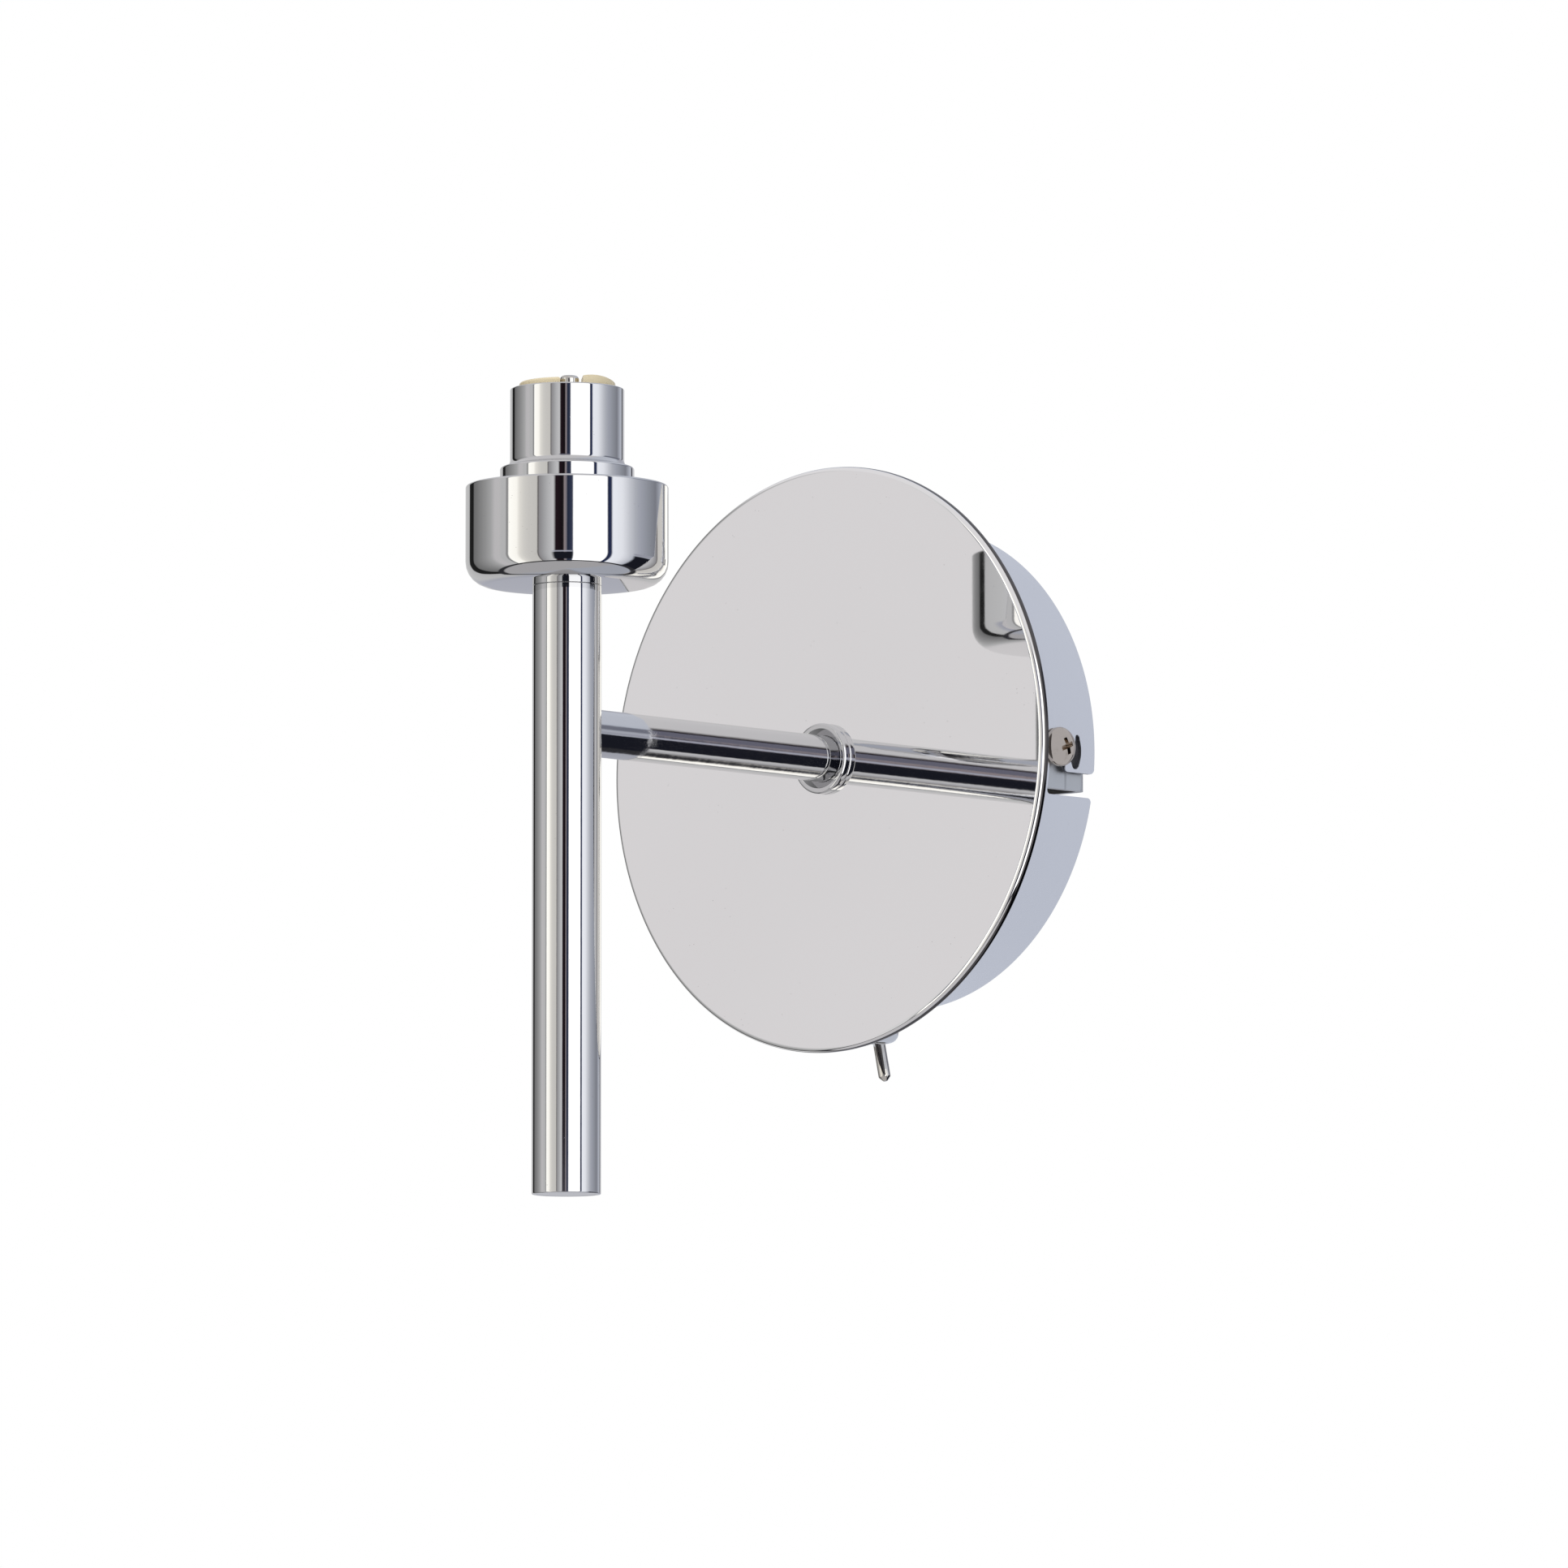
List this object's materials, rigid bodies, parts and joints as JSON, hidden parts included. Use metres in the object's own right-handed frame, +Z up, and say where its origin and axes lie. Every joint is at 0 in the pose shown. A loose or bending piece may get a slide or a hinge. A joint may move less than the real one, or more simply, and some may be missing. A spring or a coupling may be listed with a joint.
{
  "type": "swing arm wall sconce",
  "caption": "Wall sconce with a round mirror-like disc, a turning horizontal arm, a vertical post, a small cup with a capsule-lamp holder, and a toggle switch below.",
  "frame": {"origin": "centre of the canopy, in the plane of the wall", "axes": "+Z up the post, -Y out of the wall along the arm, +X to the right for someone facing the wall"},
  "size_m": [0.12, 0.1226, 0.1629],
  "materials": {
    "chrome_polish": "mirror polished chrome plate",
    "chrome_canopy": "bright chrome plate on spun steel",
    "nickel": "nickel plate",
    "zinc_steel": "clear zinc plate on sheet steel",
    "brass": "plain turned brass",
    "ceramic": "unglazed cream steatite ceramic",
    "switch_case": "black moulded phenolic",
    "white_nylon": "natural nylon",
    "brown_lead": "brown wire insulation",
    "blue_lead": "blue wire insulation",
    "earth_lead": "green and yellow wire insulation",
    "sleeving": "black heat-shrink sleeving"
  },
  "bodies": {
    "wall_plate": {"wall_bracket": "zinc_steel", "canopy_screws": "nickel", "bracket_earth_screw": "brass"},
    "canopy": {"front_disc": "chrome_polish", "canopy_cup": "chrome_canopy", "arm_collar": "chrome_polish", "collar_nut": "zinc_steel", "stop_pin": "zinc_steel", "terminal_block": "white_nylon", "terminal_sleeves": "brass", "terminal_screws": "zinc_steel", "terminal_stud": "zinc_steel", "terminal_nut": "zinc_steel", "earth_stud": "zinc_steel", "earth_nut": "zinc_steel", "earth_tag": "brass", "feed_lead": "brown_lead", "switched_lead": "brown_lead", "neutral_lead": "blue_lead", "earth_lead": "earth_lead", "toggle_body": "switch_case", "toggle_frame": "zinc_steel", "toggle_bushing": "nickel", "toggle_inner_nut": "nickel", "toggle_lock_washer": "nickel", "toggle_dress_nut": "nickel", "toggle_terminals": "brass", "lug_sleeves": "sleeving"},
    "switch_lever": {"toggle_lever": "nickel", "toggle_plunger": "white_nylon"},
    "switch_rocker": {"toggle_rocker": "brass"},
    "arm": {"arm_tube": "chrome_polish", "arm_spindle": "zinc_steel", "spindle_bush": "white_nylon", "friction_washer": "white_nylon", "stop_washer": "zinc_steel", "spring_washer": "zinc_steel", "swivel_locknut": "zinc_steel", "tee_nipple": "brass", "tee_block": "brass", "post_tube": "chrome_polish", "post_plug": "chrome_polish", "post_insert": "brass", "head_nipple": "brass", "head_cup": "chrome_polish", "head_nut": "zinc_steel", "socket_housing": "chrome_polish", "socket_base": "zinc_steel", "socket_bridge": "zinc_steel", "socket_nut": "zinc_steel", "ceramic_insert": "ceramic", "ceramic_screws": "nickel", "socket_contacts": "brass", "arm_live_lead": "brown_lead", "arm_neutral_lead": "blue_lead"}
  },
  "joints": [
    {"name": "canopy_twist", "type": "hinge", "parent": "wall_plate", "child": "canopy", "pos_m": [0, 0, 0], "axis": [0, 1, 0], "range_deg": [-8.3, 0]},
    {"name": "arm_swivel", "type": "hinge", "parent": "canopy", "child": "arm", "pos_m": [0, -0.022, 0], "axis": [0, 1, 0], "range_deg": [-90, 90]},
    {"name": "toggle_throw", "type": "hinge", "parent": "canopy", "child": "switch_lever", "pos_m": [0, -0.0116, -0.054], "axis": [0, 1, 0], "range_deg": [0, 25]},
    {"name": "rocker_tilt", "type": "hinge", "parent": "canopy", "child": "switch_rocker", "pos_m": [0, -0.0116, -0.04], "axis": [0, 1, 0], "range_deg": [-20, 0]}
  ],
  "couplings": [
    {"joint": "rocker_tilt", "follows": "toggle_throw", "ratio": -0.8}
  ]
}
